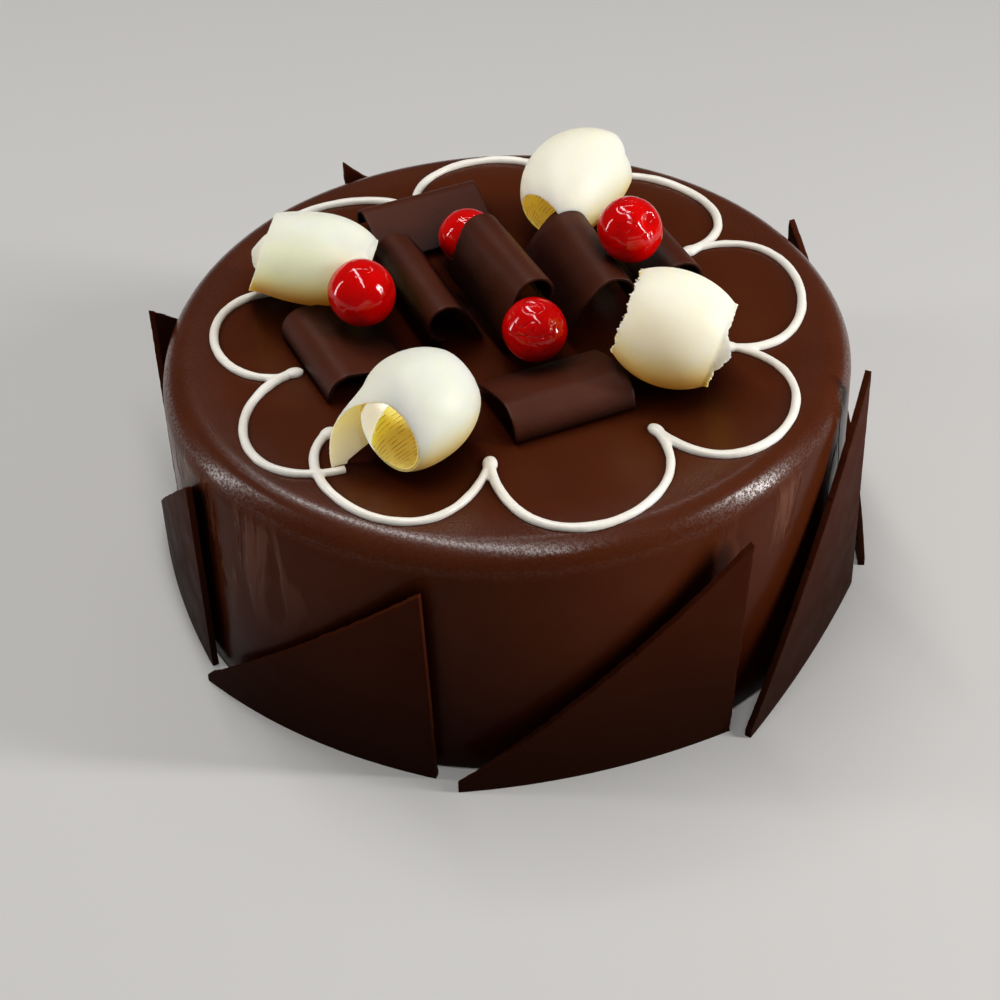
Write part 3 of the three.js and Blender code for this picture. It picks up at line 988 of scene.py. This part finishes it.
def sheet_marks():
    """Group for the marks that scraping leaves in a sheet: fine streaks along the curl, and
    chatter grooves across it, both laid out on the flat sheet. It also gives the masks for
    painted light on the inside: the lit strips, which are the outer flap and one wrap
    further in. The grooves fade out on the lit strips."""
    group, given, result = start_group(
        "sheet_marks",
        {"Streak Depth": STREAK_DEPTH, "Groove Depth": 0.0},
        ("Height", "Groove", "Lit Strips", "Flap", "Wrap"),
    )
    flat = group.nodes.new("ShaderNodeUVMap").outputs["UV"]
    along = split(group, flat)["Y"]
    flap = ramp(group, along, *FLAP)
    wrap = maths(
        group, "MULTIPLY", ramp(group, along, *WRAP_START), ramp(group, along, *WRAP_END),
    )
    pale = maths(group, "ADD", flap, wrap, clamp=True)

    wander = mottle(group, flat, WANDER)
    turns = maths(group, "DIVIDE", along, CHATTER_PITCH)
    wave = maths(group, "SINE", maths(group, "MULTIPLY_ADD", turns, 2 * math.pi, wander))
    broken = ramp(group, wander, *BROKEN, kind="LINEAR")
    unpaled = maths(group, "SUBTRACT", broken, pale, clamp=True)
    groove = maths(group, "MULTIPLY", ramp(group, wave, GROOVE_FROM, 1.0), unpaled)

    streaks = mottle(group, stretched(group, flat, STREAKS), 1, detail=3)
    raised = maths(group, "MULTIPLY", streaks, given["Streak Depth"])
    sunk = maths(group, "MULTIPLY", groove, given["Groove Depth"])
    feed(group, maths(group, "SUBTRACT", raised, sunk), result["Height"])
    feed(group, groove, result["Groove"])
    feed(group, pale, result["Lit Strips"])
    feed(group, flap, result["Flap"])
    feed(group, wrap, result["Wrap"])
    return group


SHEET_MARKS = sheet_marks()


def add_sheet_marks(material, streak_depth, groove_depth):
    """Lays the sheet's marks over a material's own relief, and returns their
    sockets."""
    depths = {"Streak Depth": streak_depth, "Groove Depth": groove_depth}
    marks = add_group(material, SHEET_MARKS, depths)
    raise_relief(material, marks["Height"])
    return marks


def paint_golden_shade_underneath(material, colour, start, end):
    """Paints a golden shade where the chocolate faces down, away from the light: the share
    goes by how far the surface is turned."""
    tree = material.node_tree
    facing = tree.nodes.new("ShaderNodeNewGeometry").outputs["Normal"]
    tint(material, colour, ramp(tree, split(tree, facing)["Z"], start, end))


def paint_glow(material, colour, parts):
    """Paints a faint glow, an emission standing in for the light that comes through the
    thin sheet, stronger on the parts that face the open: pairs of a share and a colour."""
    tree = material.node_tree
    for share, brighter in parts:
        colour = blend(tree, share, colour, brighter)
    shader_of(material)["Emission Strength"].default_value = 1.0
    feed(tree, colour, shader_of(material)["Emission Color"])


IVORY = {
    "Colour": (0.91, 0.89, 0.64, 1),
    "Patch Colour": (0.90, 0.87, 0.60, 1),
    "Patches": 50,
    "Shiny": 0.38,
    "Dull": 0.52,
    "Grain": 1600,
    "Grain Depth": 0.02 * MM,
    "Ripple": 160,
    "Ripple Depth": 0.04 * MM,
}
white_chocolate = food_material("white_chocolate", IVORY, {
    "Specular IOR Level": 0.3,
    "Subsurface Weight": 0.85,
    "Subsurface Radius": (1.0, 0.8, 0.45),
    "Subsurface Scale": 5.0 * MM,
})
add_sheet_marks(white_chocolate, STREAK_DEPTH, 0)
# Painted shade: the white chocolate turns golden where it faces down.
paint_golden_shade_underneath(white_chocolate, (0.70, 0.42, 0.11, 1), *UNDERSIDE_SHADE_TURN)

# Painted shade: the inside of the rolls is a golden, shaded copy of the white chocolate.
white_chocolate_inside_shaded = food_material(
    "white_chocolate_inside_shaded",
    IVORY | {"Colour": (0.97, 0.75, 0.22, 1), "Patch Colour": (0.96, 0.71, 0.18, 1)},
    {
        "Specular IOR Level": 0.15,
        "Subsurface Weight": 1.0,
        "Subsurface Radius": (1.0, 0.8, 0.35),
        "Subsurface Scale": 4 * MM,
    },
)
marks = add_sheet_marks(white_chocolate_inside_shaded, INSIDE_STREAK_DEPTH, GROOVE_DEPTH)
# Painted shade: the chatter grooves are darkened. Their relief is real.
tint(white_chocolate_inside_shaded, (0.50, 0.30, 0.06, 1), marks["Groove"])
# Painted light: the strips of the inside that light reaches are painted back to a pale
# ivory.
tint(white_chocolate_inside_shaded, (0.93, 0.90, 0.68, 1), marks["Lit Strips"])
# Painted light: the inside of the rolls glows faintly, most on the outer flap and the wrap.
paint_glow(white_chocolate_inside_shaded, (0.08, 0.05, 0.008, 1), (
    (marks["Flap"], (0.20, 0.14, 0.04, 1)),
    (marks["Wrap"], (0.30, 0.36, 0.38, 1)),
))

for number, roll in enumerate(WHITE_ROLLS, 1):
    (near_end, *_), (far_end, *_) = roll["ends"]
    half_width = (far_end - near_end) / 2 * MM
    turned = abs(math.radians(roll["turn"][1] - roll["turn"][0]))
    reach = turned * sum(roll["radius"]) / 2 * MM
    name = f"white_chocolate_roll_{number}"
    curl = flat_sheet(name, -half_width, half_width, 0, reach, WHITE_GRID)
    if "start_cut" in roll:
        cut = roll["start_cut"] * MM
        trim(curl, (-half_width, cut), (-cut, -half_width - 1 * MM))
    near_teeth, far_teeth = roll["teeth"]
    chip(curl, near_teeth * MM, NEAR_SEED + number, lambda x, y: x < -half_width + HAIR)
    chip(curl, far_teeth * MM, FAR_SEED + number, lambda x, y: x > half_width - HAIR)
    chip(curl, roll["torn"] * MM, TORN_SEED + number, lambda x, y: y > reach - HAIR)
    bend_sheet(curl, roll_bend(roll, half_width, reach))
    if roll["turn"][1] < roll["turn"][0]:
        bpy.ops.object.mode_set(mode="EDIT")
        bpy.ops.mesh.select_all(action="SELECT")
        bpy.ops.mesh.flip_normals()
        bpy.ops.object.mode_set(mode="OBJECT")
    curl.data.materials.append(white_chocolate_inside_shaded)
    curl.data.materials.append(white_chocolate)
    thicken(
        curl, WHITE_SHEET, 1, WHITE_ROUNDING, WHITE_EDGE_SHARE, WHITE_THINNED_OVER,
    )
    lay(curl, roll["at"], roll["heading"], roll["tilt"])
    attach(curl, "root")
    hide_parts(f"white_roll_{number}")


# The cherries: four stoned cherries in syrup, deep red and wet, each with a
# dimple where the stem was and a skin more or less puckered.

CHERRIES = (
    # at mm, radius mm, dimple turned about x and y, crease depth mm, creased side
    ((-40.9, -5.5, 98.5), 9.9, (-150, 20), 0.10, (0.6, 0.2, 0.8)),
    ((-10.3, 34.4, 89.4), 9.0, (160, 0), 0.10, (0, 0, 1)),
    ((37.3, 9.4, 106.9), 9.7, (28, 42), 0.26, (0.2, -0.3, 0.9)),
    ((8.4, -20.7, 94.3), 9.3, (-120, 0), 0.36, (0.0, -0.35, 0.9)),
)
CREASE_WIDTH = 0.11
CREASE_SHARPNESS = 1.5
CREASE_LAY = (130, 260, 330)
CREASE_WANDER = 1.5 * MM
CREASE_WANDERS = 160
CREASED_FACING = (0.20, 0.85)
PLUMP = 0.25 * MM
PLUMPS = 120
DIMPLE_DEPTH = 2.2 * MM
DIMPLE_WIDTH = 0.24
SQUAT = 0.96
CHERRY_SIDES, CHERRY_RINGS = 160, 100
CREASE_SEED = 1
noise.seed_set(CREASE_SEED)  # unseeded, noise_vector starts from the clock


def creased(point, depth, side):
    """Sinks the skin along thin wandering lines on its creased side."""
    outwards = point.normalized()
    reach = ease(outwards.dot(Vector(side).normalized()), *CREASED_FACING)
    wander = point + CREASE_WANDER * noise.noise_vector(point * CREASE_WANDERS)
    close = Vector(place * times for place, times in zip(wander, CREASE_LAY))
    line = noise.noise(close)
    fold = max(0, 1 - abs(line) / CREASE_WIDTH) ** CREASE_SHARPNESS
    plump = PLUMP * noise.noise(point * PLUMPS)
    return point + outwards * (plump - depth * MM * fold * reach)


cherry_skin = food_material(
    "cherry_skin",
    {
        "Colour": (0.56, 0.0004, 0.0001, 1),
        "Patch Colour": (0.44, 0.0002, 0.0001, 1),
        "Patches": 120,
        "Shiny": 0.03,
        "Dull": 0.09,
        "Grain": 900,
        "Grain Depth": 0.01 * MM,
        "Ripple": 120,
        "Ripple Depth": 0.06 * MM,
    },
    {
        "Specular IOR Level": 0.4,
        "Subsurface Weight": 0.5,
        "Subsurface Radius": (1.0, 0.06, 0.04),
        "Subsurface Scale": 3 * MM,
    },
)

for number, (at, radius, (about_x, about_y), depth, side) in enumerate(CHERRIES, 1):
    bpy.ops.object.select_all(action="DESELECT")
    bpy.ops.mesh.primitive_uv_sphere_add(
        segments=CHERRY_SIDES, ring_count=CHERRY_RINGS, radius=radius * MM,
    )
    cherry = bpy.context.object
    cherry.name = f"glazed_cherry_{number}"
    for vertex in cherry.data.vertices:
        across = math.hypot(vertex.co.x, vertex.co.y) / (radius * MM)
        if vertex.co.z > 0:
            vertex.co.z -= DIMPLE_DEPTH * math.exp(-((across / DIMPLE_WIDTH) ** 2))
        vertex.co.z *= SQUAT
    cherry.rotation_euler = (math.radians(about_x), math.radians(about_y), 0)
    bpy.ops.object.transform_apply(location=False, rotation=True, scale=True)
    for vertex in cherry.data.vertices:
        vertex.co = creased(vertex.co, depth, side)
    cherry.location = Vector(at) * MM
    bpy.ops.object.transform_apply(location=True, rotation=True, scale=True)
    bpy.ops.object.shade_smooth()
    cherry.data.materials.append(cherry_skin)
    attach(cherry, "root")
    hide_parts(f"cherry_{number}")
